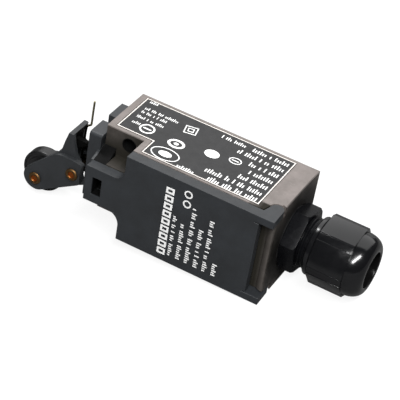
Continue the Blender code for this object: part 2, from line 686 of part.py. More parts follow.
def build_cap_nut(builder):
    centre = (LINE_Y, MIDDLE)
    flats = prism(nut_outline(), "X", NUT_FLATS, NUT_FLATS_END)
    nut = builder.add("gland_cap_nut", flats, "gland_black", (0.0, LINE_Y, MIDDLE))
    dome = [(NUT_START, 0), (NUT_START, 8.6), (NUT_START + 0.5, 9.0), (NUT_FLATS + 0.6, 9.2),
            (NUT_FLATS_END - 1, 9.6), (22.6, 9.45), (24.4, 8.7), (25.7, 7.5), (26.4, 6.3),
            (NUT_END, 5.8), (NUT_END, 0)]
    builder.join(nut, turned(dome, "X", centre, 40))
    bore = [(NUT_START - 1, 0), (NUT_START - 1, 8.25), (17.3, 8.25), (22.0, 7.0),
            (22.6, NUT_OPENING), (NUT_END + 1, NUT_OPENING), (NUT_END + 1, 0)]
    builder.cut(nut, turned(bore, "X", centre, 40))


def main():
    clear_scene()
    builder = Builder()
    build_base(builder)
    build_cover(builder)
    build_cover_gasket(builder)
    build_label(builder)
    build_head(builder)
    build_head_gasket(builder)
    build_lever(builder)
    build_roller(builder)
    build_rivet(builder, "pivot_rivet", (PIVOT_X, PIVOT_Z))
    build_rivet(builder, "roller_rivet", (AXLE_X, AXLE_Z))
    build_lever_spring(builder)
    build_plunger(builder)
    build_plunger_seal(builder)
    build_contact_block(builder)
    build_carrier(builder)
    build_terminals(builder)
    build_gland_body(builder)
    build_gland_insides(builder)
    build_cap_nut(builder)


main()
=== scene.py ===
"""Looks for the limit switch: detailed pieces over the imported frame, materials, light and camera."""

import math

import bmesh
import bpy
from mathutils import Matrix, Vector
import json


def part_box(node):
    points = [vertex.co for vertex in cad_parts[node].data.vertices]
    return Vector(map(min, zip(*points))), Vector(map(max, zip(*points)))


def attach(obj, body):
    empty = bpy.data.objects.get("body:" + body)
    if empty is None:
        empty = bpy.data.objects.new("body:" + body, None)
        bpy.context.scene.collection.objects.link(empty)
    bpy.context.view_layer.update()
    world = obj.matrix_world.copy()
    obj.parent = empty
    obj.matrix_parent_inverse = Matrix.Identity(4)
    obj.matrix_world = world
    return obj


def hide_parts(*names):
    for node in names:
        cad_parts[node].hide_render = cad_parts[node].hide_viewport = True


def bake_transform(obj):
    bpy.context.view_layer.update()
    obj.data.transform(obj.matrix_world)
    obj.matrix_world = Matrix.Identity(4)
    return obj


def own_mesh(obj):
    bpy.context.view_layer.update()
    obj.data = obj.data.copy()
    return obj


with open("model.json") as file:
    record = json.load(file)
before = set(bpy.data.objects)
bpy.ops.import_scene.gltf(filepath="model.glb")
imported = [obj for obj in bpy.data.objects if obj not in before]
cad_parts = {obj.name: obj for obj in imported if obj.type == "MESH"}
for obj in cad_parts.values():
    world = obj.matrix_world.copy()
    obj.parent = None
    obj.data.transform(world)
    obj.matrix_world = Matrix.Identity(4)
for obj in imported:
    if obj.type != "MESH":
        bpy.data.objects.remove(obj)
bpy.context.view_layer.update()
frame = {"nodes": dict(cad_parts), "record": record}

MM = 0.001

# The design axes, in millimetres, start at the housing's gland end, front face and lower side.
HOUSING_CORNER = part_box("base_housing")[1]
GLAND_END = 0.8
SIDE = 30.0
DEPTH = 30.0
ORIGIN = HOUSING_CORNER - Vector((GLAND_END, DEPTH, SIDE)) * MM
TO_WORLD = Matrix.Translation(ORIGIN) @ Matrix.Scale(MM, 4)

HEAD_END = -58.3
MIDDLE = 15.0
LINE_Y = 17.2
LINE = (LINE_Y, MIDDLE)
COVER_DEPTH = 3.4
COVER_END = -3.3
COVER_STEP = COVER_END - 1.4
BASE_FRONT = 3.7
NOTCH_X = -46.0
NOTCH_DEPTH = 9.8
NECK_LOW = 8.9
NECK_HIGH = 21.1
HOLE_X = -50.5
HOLE_LOW = 4.0
HOLE_HIGH = 26.0
HINGE = (-1.1, 6.1)
LUG_RADIUS = 2.05
LUG_THICK = 2.4
GAP = 0.3
LUG_LOW = LUG_THICK + GAP
LUG_HIGH = SIDE - LUG_THICK - GAP
SWING_RADIUS = 4.15
CUT_REACH = 2.0
WELD = 0.002

FLANGE_FRONT = -62.7
PIVOT = (-68.8, 5.8)
AXLE = (-81.2, -1.6)
ROLLER_RADIUS = 6.9
ROLLER_WIDTH = 4.5
PLUNGER_TIP = -67.4
EARS = ((13.35, 14.65), (20.15, 21.45))
CHEEK_GAP = (13.35, 21.55)
RIVET_ENDS = (11.05, 23.35)
RIVET_HOLE = 1.7

BLOCK_HEAD = -44.2
BLOCK_GLAND = -14.2
BLOCK_FRONT = 12.6
NC_X = -39.5
NO_X = -23.5
TERMINAL_OFFSET = 8.8

NUT_START = 8.4
NUT_FLATS = 10.9
NUT_FLATS_END = 21.3
NUT_END = 26.5
NUT_FLAT_DISTANCE = 9.8
NUT_HALF_FLAT = 4.15
NUT_TURN = 5.0
NUT_OPENING = 5.4
GLAND_HEX_RADIUS = 10.35
GLAND_HEX_TURN = -16.0
GLAND_HEX_END = 5.9


# ---------------- shapes, in millimetres

def along(axis, value, first, second):
    """A point with value on axis and first and second on the other two, in alphabetical order."""
    if axis == "X":
        return Vector((value, first, second))
    if axis == "Y":
        return Vector((first, value, second))
    return Vector((first, second, value))


def arc(centre, radius, start, stop, steps):
    angles = [math.radians(start + (stop - start) * i / steps) for i in range(steps + 1)]
    return [(centre[0] + radius * math.cos(a), centre[1] + radius * math.sin(a)) for a in angles]


def ellipse(centre, radii, steps):
    angles = [math.tau * i / steps for i in range(steps)]
    return [(centre[0] + radii[0] * math.cos(a), centre[1] + radii[1] * math.sin(a))
            for a in angles]


def rounded(outline, radius, steps=5):
    """The outline with each corner rounded."""
    count = len(outline)
    points = []
    for index in range(count):
        corner = Vector(outline[index])
        before = Vector(outline[index - 1]) - corner
        after = Vector(outline[(index + 1) % count]) - corner
        half = before.angle(after) / 2
        reach = min(radius / math.tan(half), before.length * 0.48, after.length * 0.48)
        start = corner + before.normalized() * reach
        stop = corner + after.normalized() * reach
        for step in range(steps + 1):
            share = step / steps
            point = (start * (1 - share) ** 2 + corner * 2 * share * (1 - share)
                     + stop * share ** 2)
            points.append(tuple(point))
    return points


def prism(outline, axis, low, high):
    mesh = bmesh.new()
    face = mesh.faces.new([mesh.verts.new(along(axis, low, a, b)) for a, b in outline])
    grown = bmesh.ops.extrude_face_region(mesh, geom=[face])
    moved = [item for item in grown["geom"] if isinstance(item, bmesh.types.BMVert)]
    bmesh.ops.translate(mesh, verts=moved, vec=along(axis, high - low, 0, 0))
    bmesh.ops.recalc_face_normals(mesh, faces=mesh.faces)
    return mesh


def block(x_range, y_range, z_range):
    corners = [(x_range[0], y_range[0]), (x_range[1], y_range[0]),
               (x_range[1], y_range[1]), (x_range[0], y_range[1])]
    return prism(corners, "Z", *z_range)


def turned(profile, axis, centre, segments=96):
    """A profile of (place along the axis, radius) points turned about an axis through centre."""
    mesh = bmesh.new()
    loop = [mesh.verts.new(along(axis, place, radius, 0)) for place, radius in profile]
    edges = [mesh.edges.new((a, b)) for a, b in zip(loop, loop[1:])]
    if min(radius for _, radius in profile) > 0:
        edges.append(mesh.edges.new((loop[-1], loop[0])))
    bmesh.ops.spin(mesh, geom=loop + edges, cent=(0, 0, 0), axis=along(axis, 1, 0, 0),
                   angle=math.tau, steps=segments, use_merge=True, use_duplicate=False)
    bmesh.ops.remove_doubles(mesh, verts=mesh.verts, dist=0.0005)
    bmesh.ops.recalc_face_normals(mesh, faces=mesh.faces)
    bmesh.ops.translate(mesh, verts=mesh.verts, vec=along(axis, 0, *centre))
    return mesh


def rod(radius, axis, centre, low, high, segments=64):
    return turned([(low, 0), (low, radius), (high, radius), (high, 0)], axis, centre, segments)


def smooth_path(points, steps=8):
    """A Catmull-Rom curve through the points."""
    path = []
    for index in range(len(points) - 1):
        p0 = points[max(index - 1, 0)]
        p1 = points[index]
        p2 = points[index + 1]
        p3 = points[min(index + 2, len(points) - 1)]
        for step in range(steps):
            t = step / steps
            path.append(0.5 * (2 * p1 + (p2 - p0) * t + (2 * p0 - 5 * p1 + 4 * p2 - p3) * t * t
                               + (3 * p1 - p0 - 3 * p2 + p3) * t ** 3))
    return path + [points[-1]]


def sweep(points, radius, sides=12):
    """A round wire along a smooth list of points."""
    mesh = bmesh.new()
    rings = []
    normal = Vector((0.0, 1.0, 0.0))
    for index, point in enumerate(points):
        tangent = (points[min(index + 1, len(points) - 1)] - points[max(index - 1, 0)]).normalized()
        normal = (normal - normal.dot(tangent) * tangent).normalized()
        side = tangent.cross(normal)
        ring = []
        for step in range(sides):
            angle = math.tau * step / sides
            offset = normal * math.cos(angle) + side * math.sin(angle)
            ring.append(mesh.verts.new(point + offset * radius))
        rings.append(ring)
    for low, high in zip(rings, rings[1:]):
        for step in range(sides):
            after = (step + 1) % sides
            mesh.faces.new((low[step], low[after], high[after], high[step]))
    mesh.faces.new(rings[0])
    mesh.faces.new(rings[-1])
    bmesh.ops.recalc_face_normals(mesh, faces=mesh.faces)
    return mesh


def band(outer, inner, axis, low, high):
    """A flat closed ring between two outlines with the same number of points."""
    mesh = bmesh.new()
    levels = []
    for height in (low, high):
        levels.append([[mesh.verts.new(along(axis, height, a, b)) for a, b in outline]
                       for outline in (outer, inner)])
    count = len(outer)
    for i in range(count):
        j = (i + 1) % count
        (out_low, in_low), (out_high, in_high) = levels
        mesh.faces.new((out_low[i], out_low[j], in_low[j], in_low[i]))
        mesh.faces.new((out_high[i], in_high[i], in_high[j], out_high[j]))
        mesh.faces.new((out_low[i], out_high[i], out_high[j], out_low[j]))
        mesh.faces.new((in_low[i], in_low[j], in_high[j], in_high[i]))
    bmesh.ops.recalc_face_normals(mesh, faces=mesh.faces)
    return mesh


# ---------------- materials

class Nodes:
    """A short way to build a material's nodes."""

    def __init__(self, name):
        self.material = bpy.data.materials.new(name)
        self.material.use_nodes = True
        self.tree = self.material.node_tree
        self.shader = self.tree.nodes["Principled BSDF"]
        self.place = self.add("ShaderNodeTexCoord").outputs["Object"]
        # The share of painted shade, once a material has any.
        self.painted_shade_share = None

    def add(self, kind, **settings):
        node = self.tree.nodes.new(kind)
        for key, value in settings.items():
            setattr(node, key, value)
        return node

    def link(self, source, target):
        self.tree.links.new(source, target)

    def noise(self, scale, detail=3.0, rough=0.55):
        """Noise with so many features to the metre."""
        node = self.add("ShaderNodeTexNoise")
        node.inputs["Scale"].default_value = scale
        node.inputs["Detail"].default_value = detail
        node.inputs["Roughness"].default_value = rough
        self.link(self.place, node.inputs["Vector"])
        return node.outputs["Fac"]

    def spread(self, value, low, high, to_low=0.0, to_high=1.0):
        node = self.add("ShaderNodeMapRange")
        node.inputs["From Min"].default_value = low
        node.inputs["From Max"].default_value = high
        node.inputs["To Min"].default_value = to_low
        node.inputs["To Max"].default_value = to_high
        self.link(value, node.inputs["Value"])
        return node.outputs["Result"]

    def blend(self, share, first, second):
        """A colour between two; each is a colour or another node's output."""
        node = self.add("ShaderNodeMix", data_type="RGBA")
        self.link(share, node.inputs["Factor"])
        for index, value in ((6, first), (7, second)):
            if isinstance(value, tuple):
                node.inputs[index].default_value = (*value, 1.0)
            else:
                self.link(value, node.inputs[index])
        return node.outputs[2]

    def calc(self, operation, first, second=None):
        """One step of arithmetic; the second value is a number or another node's output."""
        node = self.add("ShaderNodeMath", operation=operation)
        self.link(first, node.inputs[0])
        if isinstance(second, float):
            node.inputs[1].default_value = second
        elif second is not None:
            self.link(second, node.inputs[1])
        return node.outputs[0]

    def times(self, first, *others):
        """The product of several outputs or numbers."""
        for other in others:
            first = self.calc("MULTIPLY", first, other)
        return first

    def paint_shade(self, colour, share, tone):
        """The colour with painted shade over it; the share is kept, so that the painted shade can be
        dull too.
        """
        self.painted_shade_share = self.calc("MAXIMUM", self.painted_shade_share, share) if self.painted_shade_share else share
        return self.blend(share, colour, tone)

    def inside(self, axis, low, high, edge=0.2):
        """1 between two places along a design axis and 0 beyond them, with a soft edge."""
        split = self.add("ShaderNodeSeparateXYZ")
        self.link(self.place, split.inputs["Vector"])
        middle = ORIGIN["XYZ".index(axis)] + (low + high) / 2 * MM
        away = self.calc("ABSOLUTE", self.calc("SUBTRACT", split.outputs[axis], middle))
        half = (high - low) / 2
        return self.spread(away, (half - edge) * MM, half * MM, 1.0, 0.0)

    def near(self, axis, centre, inner, outer):
        """1 within the inner distance of a line along an axis, fading to 0 at the outer one."""
        flat = self.add("ShaderNodeVectorMath", operation="MULTIPLY")
        self.link(self.place, flat.inputs[0])
        keep = Vector((1.0, 1.0, 1.0)) - along(axis, 1.0, 0.0, 0.0)
        flat.inputs[1].default_value = keep
        reach = self.add("ShaderNodeVectorMath", operation="DISTANCE")
        self.link(flat.outputs["Vector"], reach.inputs[0])
        reach.inputs[1].default_value = (TO_WORLD @ along(axis, 0.0, *centre)) * keep
        return self.spread(reach.outputs["Value"], inner * MM, outer * MM, 1.0, 0.0)

    def bump(self, height, depth, below=None):
        node = self.add("ShaderNodeBump")
        node.inputs["Strength"].default_value = 1.0
        node.inputs["Distance"].default_value = depth
        self.link(height, node.inputs["Height"])
        if below:
            self.link(below, node.inputs["Normal"])
        return node.outputs["Normal"]

    def set(self, **values):
        for key, value in values.items():
            self.shader.inputs[key.replace("_", " ")].default_value = value


# Dark tones painted as shade in recesses, gaps, bores and inside the lever; RUST is the rivets' own
# colour in their hollow ends.
PAINTED_SHADE_TONE = (0.018, 0.0165, 0.013)
BLACK = (0.004, 0.004, 0.004)
RUST = (0.36, 0.095, 0.018)
RIVET_SHADE_TONE = (0.01, 0.007, 0.004)
WIRE_SHADE_TONE = (0.02, 0.018, 0.014)


def latch_pocket(n):
    """Where the pocket behind the cover's window is, which is painted dark as shade."""
    return n.times(n.inside("X", -58.0, -51.0), n.inside("Y", 3.45, 9.3), n.inside("Z", 11.0, 18.6))


def housing_painted_shade(n, colour):
    """Painted shade in the mounting holes, the notches, the latch pocket and round the lip, and a
    painted shadow round the gland on the end face.
    """
    uneven = n.spread(n.noise(420, 5, 0.65), 0.3, 0.75, 1.0, 0.6)
    notch = n.times(n.inside("X", -60.0, NOTCH_X + 0.1), n.inside("Y", -1.0, NOTCH_DEPTH + 0.4),
                    n.inside("Z", 0.3, SIDE - 0.3))
    lip = n.times(n.inside("X", -9.0, 1.4, 4.0), n.inside("Y", 0.0, 6.8, 0.6))
    end_face = n.inside("X", 0.3, 2.0, 0.3)
    # Painted shade in the notch and its inner corners, made uneven, a painted shadow of the gland on
    # the end face, and painted shade at the lip and in the latch pocket.
    for share in (
            n.times(notch, uneven, 0.72),
            n.times(n.near("X", (NOTCH_DEPTH, NECK_HIGH), 2.0, 12.0), notch, 0.95),
            n.times(n.near("X", (NOTCH_DEPTH, NECK_LOW), 2.0, 12.0), notch, 0.95),
            n.times(n.near("Z", (NOTCH_X, NOTCH_DEPTH), 1.5, 11.0), notch, 0.9),
            n.times(n.near("X", LINE, 14.0, 23.0), end_face, uneven, 0.97),
            n.times(lip, 0.98),
            n.times(n.inside("X", -9.0, 3.0), n.inside("Y", 0.0, 6.8, 0.6), uneven, 0.6),
            latch_pocket(n)):
        colour = n.paint_shade(colour, share, PAINTED_SHADE_TONE)
    # A deeper painted shadow close beside the gland.
    colour = n.paint_shade(colour, n.times(n.near("X", LINE, 11.0, 18.5), end_face, 0.85), BLACK)
    # Painted shade in the mounting holes.
    for height in (HOLE_LOW, HOLE_HIGH):
        colour = n.paint_shade(colour, n.near("Y", (HOLE_X, height), 2.2, 2.6), BLACK)
    return colour


def head_painted_shade(n, colour):
    """Painted shade on the foot behind the cover and in the latch pocket."""
    foot = n.times(n.inside("X", -58.65, -50.0, 0.1), n.inside("Y", 3.0, 11.0),
                   n.inside("Z", 18.5, 26.0, 0.6))
    return n.paint_shade(n.paint_shade(colour, foot, BLACK), latch_pocket(n), BLACK)


def cover_window_painted_shade(n, colour):
    """The sides of the cover's window are painted black as shade."""
    window = n.times(n.inside("X", -56.1, -52.75, 0.1), n.inside("Z", 11.5, 17.95, 0.1),
                     n.inside("Y", 0.3, 9.0, 0.3))
    return n.paint_shade(colour, window, BLACK)


def hood_painted_shade(n, colour):
    """The inner side of the lever's hood is painted nearly black as shade."""
    away = n.add("ShaderNodeVectorMath", operation="SUBTRACT")
    n.link(n.place, away.inputs[0])
    away.inputs[1].default_value = TO_WORLD @ Vector((-75.1, 0.0, 9.0))
    side = n.add("ShaderNodeVectorMath", operation="DOT_PRODUCT")
    n.link(away.outputs["Vector"], side.inputs[0])
    side.inputs[1].default_value = (1.0, 0.0, -0.38)
    within = n.times(n.spread(side.outputs["Value"], 0.0, 0.25 * MM), n.inside("Y", 13.95, 20.6),
                     n.inside("Z", 8.0, 18.4))
    return n.paint_shade(colour, within, BLACK)


def nut_bore_painted_shade(n, colour):
    """The nut's bore is painted black as shade, so no light comes back out of it."""
    return n.paint_shade(colour, n.near("X", LINE, 5.5, 5.7), BLACK)


def rivet_rust_and_painted_shade(n, colour):
    """Rust in the hollow ends, and painted shade along the shaft between the cheeks."""
    for place in (PIVOT, AXLE):
        colour = n.blend(n.near("Y", place, 0.95, 1.1), colour, RUST)
    # Painted shade along the shaft between the cheeks.
    return n.blend(n.inside("Y", 12.6, 21.9), colour, RIVET_SHADE_TONE)


def wire_painted_shade(n, colour):
    """The wire is painted dark as shade inside the lever and keeps its own colour where it stands
    above the hood.
    """
    return n.blend(n.inside("Z", -9.0, 18.7), colour, WIRE_SHADE_TONE)


def plastic(name, base, shade, rough=(0.4, 0.55), grain=0.008, mottle=0.5, dust=0.0,
            rust_and_painted_shade=None, wave=0.02, specular=0.5):
    """Moulded plastic: two close tones, fine grain, faint flow waves and a little pale dust."""
    n = Nodes(name)
    patches = n.spread(n.noise(160, 5, 0.6), 0.5 - mottle * 0.35, 0.5 + mottle * 0.35)
    colour = n.blend(patches, base, shade)
    if dust:
        specks = n.spread(n.noise(1500, 4, 0.7), 0.62 - dust * 0.12, 0.78)
        pale = tuple(min(1.0, c * 1.2 + 0.12) for c in base)
        colour = n.blend(n.times(specks, dust), colour, pale)
    # Painted shade, where the material has any.
    if rust_and_painted_shade:
        colour = rust_and_painted_shade(n, colour)
    n.link(colour, n.shader.inputs["Base Color"])
    n.link(n.spread(n.noise(420, 4), 0.3, 0.7, *rough), n.shader.inputs["Roughness"])
    waves = n.bump(n.noise(90, 2), wave * MM)
    n.link(n.bump(n.noise(6500, 2, 0.6), grain * MM, waves), n.shader.inputs["Normal"])
    n.set(IOR=1.5, Specular_IOR_Level=specular)
    # Painted shade is made duller as well as darker.
    if n.painted_shade_share:
        n.link(n.spread(n.painted_shade_share, 0.0, 1.0, specular, 0.05), n.shader.inputs["Specular IOR Level"])
    return n.material


def metal(name, base, shade, rough=(0.22, 0.42), rust_and_painted_shade=None):
    """Plain metal with small stains and fine unevenness."""
    n = Nodes(name)
    stains = n.spread(n.noise(900, 5, 0.65), 0.35, 0.7)
    colour = n.blend(stains, base, shade)
    # Rust and painted shade, where the metal has any.
    if rust_and_painted_shade:
        colour = rust_and_painted_shade(n, colour)
    n.link(colour, n.shader.inputs["Base Color"])
    n.link(n.spread(n.noise(2500, 3, 0.6), 0.3, 0.7, *rough), n.shader.inputs["Roughness"])
    n.link(n.bump(n.noise(5000, 2, 0.5), 0.000004), n.shader.inputs["Normal"])
    n.set(Metallic=1.0)
    return n.material


def rubber(name, base):
    n = Nodes(name)
    bloom = n.spread(n.noise(500, 5, 0.65), 0.45, 0.8, 0.0, 0.5)
    n.link(n.blend(bloom, base, tuple(c * 2.2 + 0.008 for c in base)), n.shader.inputs["Base Color"])
    n.link(n.spread(n.noise(700, 3), 0.3, 0.7, 0.5, 0.75), n.shader.inputs["Roughness"])
    n.link(n.bump(n.noise(3500, 3), 0.000008), n.shader.inputs["Normal"])
    return n.material


def ink(name, base, worn):
    n = Nodes(name)
    fade = n.spread(n.noise(2600, 4, 0.7), 0.52, 0.75, 0.0, 0.7)
    n.link(n.blend(fade, base, worn), n.shader.inputs["Base Color"])
    n.set(Roughness=0.55)
    n.link(n.bump(n.noise(5000, 2), 0.000003), n.shader.inputs["Normal"])
    return n.material


# Two tones, roughness, grain and mottle, and dust on the first.
BLUE_GREY = ((0.024, 0.027, 0.031), (0.016, 0.0175, 0.0195), (0.38, 0.52), 0.009, 0.7, 0.06)
NUT_BLACK = ((0.0055, 0.0057, 0.0065), (0.0035, 0.0036, 0.0042), (0.13, 0.22), 0.0015, 0.6)

MATERIALS = {
    "housing_grey": plastic("housing_plastic", (0.215, 0.187, 0.176), (0.132, 0.116, 0.106),
                            (0.5, 0.68), 0.012, 0.6, 0.35, housing_painted_shade),
    "cover_blue_grey": plastic("cover_plastic", *BLUE_GREY, cover_window_painted_shade),
    "lever_blue_grey": plastic("lever_plastic", (0.026, 0.0285, 0.032), (0.017, 0.0185, 0.02),
                               (0.4, 0.55), 0.008, 0.7, 0.05, hood_painted_shade),
    "roller_black": plastic("roller_plastic", (0.009, 0.0093, 0.0098), (0.006, 0.0063, 0.0067),
                            (0.3, 0.42), 0.005, 0.6),
    "gland_black": plastic("gland_plastic", *NUT_BLACK),
    "rubber_black": rubber("rubber", (0.008, 0.008, 0.0085)),
    "label_black": plastic("label_film", (0.012, 0.012, 0.013), (0.008, 0.008, 0.0085),
                           (0.42, 0.55), 0.006, 0.6, 0.1),
    "brass": metal("brass_metal", (0.5, 0.245, 0.075), (0.26, 0.1, 0.028)),
    "steel": metal("steel_metal", (0.58, 0.54, 0.4), (0.36, 0.33, 0.22)),
    "insulator_ivory": plastic("insulator_plastic", (0.62, 0.57, 0.46), (0.54, 0.49, 0.38),
                               (0.42, 0.56), 0.008, 0.6, 0.1),
    "plunger_white": plastic("plunger_plastic", (0.72, 0.72, 0.69), (0.64, 0.64, 0.6),
                             (0.35, 0.5), 0.005, 0.6),
    "claw_grey": plastic("claw_plastic", (0.2, 0.21, 0.22), (0.15, 0.16, 0.165),
                         (0.35, 0.5), 0.006, 0.6),
}
HEAD_PLASTIC = plastic("head_plastic", *BLUE_GREY, head_painted_shade)
RIVET_BRASS = metal("rivet_brass", (0.2, 0.115, 0.045), (0.1, 0.052, 0.022), (0.42, 0.6),
                    rust_and_painted_shade=rivet_rust_and_painted_shade)
SPRING_WIRE = metal("spring_wire", (0.5, 0.46, 0.3), (0.3, 0.27, 0.16), rust_and_painted_shade=wire_painted_shade)
NUT_PLASTIC = plastic("nut_plastic", *NUT_BLACK, rust_and_painted_shade=nut_bore_painted_shade)
GLAND_MATT = plastic("gland_matt_plastic", (0.0045, 0.0047, 0.0055), (0.003, 0.0031, 0.0038),
                     (0.24, 0.32), 0.002, 0.6, wave=0.003, specular=0.12)
WHITE_INK = ink("white_ink", (0.88, 0.88, 0.87), (0.5, 0.5, 0.49))
BORDER_INK = ink("border_ink", (0.74, 0.7, 0.66), (0.4, 0.37, 0.34))


# ---------------- pieces

def place_in_scene(name, data):
    item = bpy.data.objects.new(name, data)
    bpy.context.scene.collection.objects.link(item)
    return item


def new_object(name, shape, matrix=TO_WORLD):
    bmesh.ops.transform(shape, matrix=matrix, verts=shape.verts)
    data = bpy.data.meshes.new(name)
    shape.to_mesh(data)
    shape.free()
    return place_in_scene(name, data)


def settle(item):
    """Replaces an object's mesh with what its modifiers make of it."""
    bpy.context.view_layer.update()
    made = item.evaluated_get(bpy.context.evaluated_depsgraph_get())
    data = bpy.data.meshes.new_from_object(made)
    item.modifiers.clear()
    item.data = data


def combine(item, operation, shapes):
    tools = []
    for index, shape in enumerate(shapes):
        tool = new_object(f"tool_{index}", shape)
        change = item.modifiers.new("combine", "BOOLEAN")
        change.operation = operation
        change.object = tool
        change.solver = "EXACT"
        tools.append(tool)
    settle(item)
    for tool in tools:
        bpy.data.objects.remove(tool, do_unlink=True)


def tidy_faces(item):
    """Joins faces that lie in one plane, so that a bevel runs evenly."""
    mesh = bmesh.new()
    mesh.from_mesh(item.data)
    bmesh.ops.remove_doubles(mesh, verts=mesh.verts, dist=WELD * MM)
    bmesh.ops.dissolve_limit(mesh, angle_limit=math.radians(0.6), verts=mesh.verts,
                             edges=mesh.edges, delimit=set())
    mesh.to_mesh(item.data)
    mesh.free()


def soften(item, width, segments=3, angle=32):
    bevel = item.modifiers.new("soften", "BEVEL")
    bevel.width = width * MM
    bevel.segments = segments
    bevel.limit_method = "ANGLE"
    bevel.angle_limit = math.radians(angle)
    bevel.miter_outer = "MITER_ARC"


def shade(item, material, smooth):
    item.data.materials.clear()
    item.data.materials.append(material)
    item.data.shade_smooth()
    item.data.set_sharp_from_angle(angle=math.radians(smooth))


def finish_piece(item, slot, body, nodes=(), material=None, smooth=32, even=False):
    """Shades a piece; even keeps its wide flat faces flat beside their bevels."""
    shade(item, material or MATERIALS[slot], smooth)
    if even:
        item.modifiers.new("even", "WEIGHTED_NORMAL").keep_sharp = True
        settle(item)
    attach(item, body)
    if nodes:
        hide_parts(*nodes)


def add_piece(name, shape, slot, body, nodes=(), join=(), cut=(), round_by=0.0, segments=3,
              material=None, smooth=32):
    item = new_object(name, shape)
    if join:
        combine(item, "UNION", join)
    if cut:
        combine(item, "DIFFERENCE", cut)
    if join or cut:
        tidy_faces(item)
    if round_by:
        soften(item, round_by, segments)
        settle(item)
    finish_piece(item, slot, body, nodes, material, smooth, even=round_by > 0)
    return item


# ---------------- housing and cover

def notch_outline(high):
    """The space cut from the housing's head end beside the neck, in X and Z."""
    if high:
        points = arc((NOTCH_X - 3.0, NECK_HIGH + 3.0), 3.0, 0, -90, 10)
        return points + [(HEAD_END - CUT_REACH, NECK_HIGH), (HEAD_END - CUT_REACH, SIDE + CUT_REACH),
                         (NOTCH_X, SIDE + CUT_REACH)]
    points = arc((NOTCH_X - 4.0, NECK_LOW - 4.0), 4.0, 90, 0, 10)
    return points + [(NOTCH_X, -CUT_REACH), (HEAD_END - CUT_REACH, -CUT_REACH),
                     (HEAD_END - CUT_REACH, NECK_LOW)]


def cover_outline():
    """The cover's front, in X and Z, stepped round the lugs and notched beside the neck."""
    outline = [(COVER_END, LUG_LOW), (COVER_END, LUG_HIGH), (COVER_STEP, LUG_HIGH),
               (COVER_STEP, SIDE), (NOTCH_X, SIDE)]
    outline += arc((NOTCH_X - 3.0, NECK_HIGH + 3.0), 3.0, 0, -90, 12)
    outline += [(HEAD_END, NECK_HIGH), (HEAD_END, NECK_LOW)]
    outline += arc((NOTCH_X - 4.0, NECK_LOW - 4.0), 4.0, 90, 0, 12)
    outline += [(NOTCH_X, 0.0), (COVER_STEP, 0.0), (COVER_STEP, LUG_LOW)]
    return outline


def lug_outline(margin=0.0):
    """A hinge lug in X and Y, larger by the margin where it is the slot for one."""
    radius = LUG_RADIUS + margin
    outline = [(-5.2 - margin, -margin), (1.1 + margin, -margin)]
    outline += arc(HINGE, radius, 0, 180, 20)
    outline += [(-3.9 - margin, COVER_DEPTH + margin), (-5.2 - margin, COVER_DEPTH + margin)]
    return outline


def label_outline(margin=0.0):
    return [(-56.1 - margin, 11.3 - margin), (-44.0 - margin, 11.3 - margin),
            (-44.0 - margin, 4.7 - margin), (-6.3 + margin, 4.7 - margin),
            (-6.3 + margin, 28.9 + margin), (-56.1 - margin, 28.9 + margin)]


def lip_outline():
    """The housing's low rounded lip between the lugs, in X and Y."""
    return [(GLAND_END, 2.75), (0.2, 2.65), (-0.6, 2.85), (-1.4, 3.3), (-2.0, 3.95),
            (-2.4, 4.8), (-2.4, 6.0), (GLAND_END, 6.0)]


def make_housing():
    slots = []
    for low, high in ((-1, LUG_LOW), (LUG_HIGH, SIDE + 1)):
        slots.append(prism(lug_outline(GAP), "Z", low, high))
        swing = arc(HINGE, LUG_RADIUS + 0.9, 0, 80, 8) + [HINGE]
        slots.append(prism(swing, "Z", low, high))
    holes = [rod(2.15, "Y", (HOLE_X, z), NOTCH_DEPTH - 2, DEPTH + 1) for z in (HOLE_LOW, HOLE_HIGH)]
    add_piece(
        "housing_shell", block((HEAD_END, GLAND_END), (BASE_FRONT, DEPTH), (0, SIDE)),
        "housing_grey", "housing", ["base_housing"],
        join=[prism(lip_outline(), "Z", LUG_THICK + 2 * GAP, SIDE - LUG_THICK - 2 * GAP)],
        cut=[
            prism(notch_outline(True), "Y", -1, NOTCH_DEPTH),
            prism(notch_outline(False), "Y", -1, NOTCH_DEPTH),
            block((HEAD_END - 2, -54.1), (-1, NOTCH_DEPTH), (NECK_LOW - 1, NECK_HIGH + 1)),
            block((-54.6, -52.0), (-1, 9.0), (11.3, 18.2)),
            block((-44.5, -9.0), (-1, 27.5), (2.6, SIDE - 2.6)),
            block((-52.3, -43.5), (-1, 24.5), (10.4, 19.6)),
            rod(6.8, "X", LINE, HEAD_END - 1, -43.5),
            rod(8.1, "X", LINE, -10, GLAND_END + 1),
            rod(9.3, "X", LINE, GLAND_END - 1.0, GLAND_END + 1),
            prism(rounded(label_outline(0.25), 0.5, 4), "Z", SIDE - 0.4, SIDE + 1),
        ] + slots + holes,
        round_by=0.42,
    )


def make_cover():
    lugs = [prism(lug_outline(), "Z", 0.0, LUG_THICK),
            prism(lug_outline(), "Z", SIDE - LUG_THICK, SIDE),
            rod(0.9, "Z", HINGE, LUG_THICK - 0.2, LUG_THICK + 1.5, 32),
            rod(0.9, "Z", HINGE, SIDE - LUG_THICK - 1.5, SIDE - LUG_THICK + 0.2, 32)]
    add_piece(
        "cover_shell", prism(cover_outline(), "Y", 0, COVER_DEPTH), "cover_blue_grey", "cover",
        ["front_cover"], join=lugs,
        cut=[
            block((-44.8, -7.4), (1.6, COVER_DEPTH + 1), (1.2, SIDE - 1.2)),
            rod(SWING_RADIUS, "Z", HINGE, LUG_LOW, LUG_HIGH, 160),
            block((-55.97, -52.9), (-1, COVER_DEPTH + 1), (11.66, 17.8)),
        ],
        round_by=0.38,
    )


# ---------------- label and print

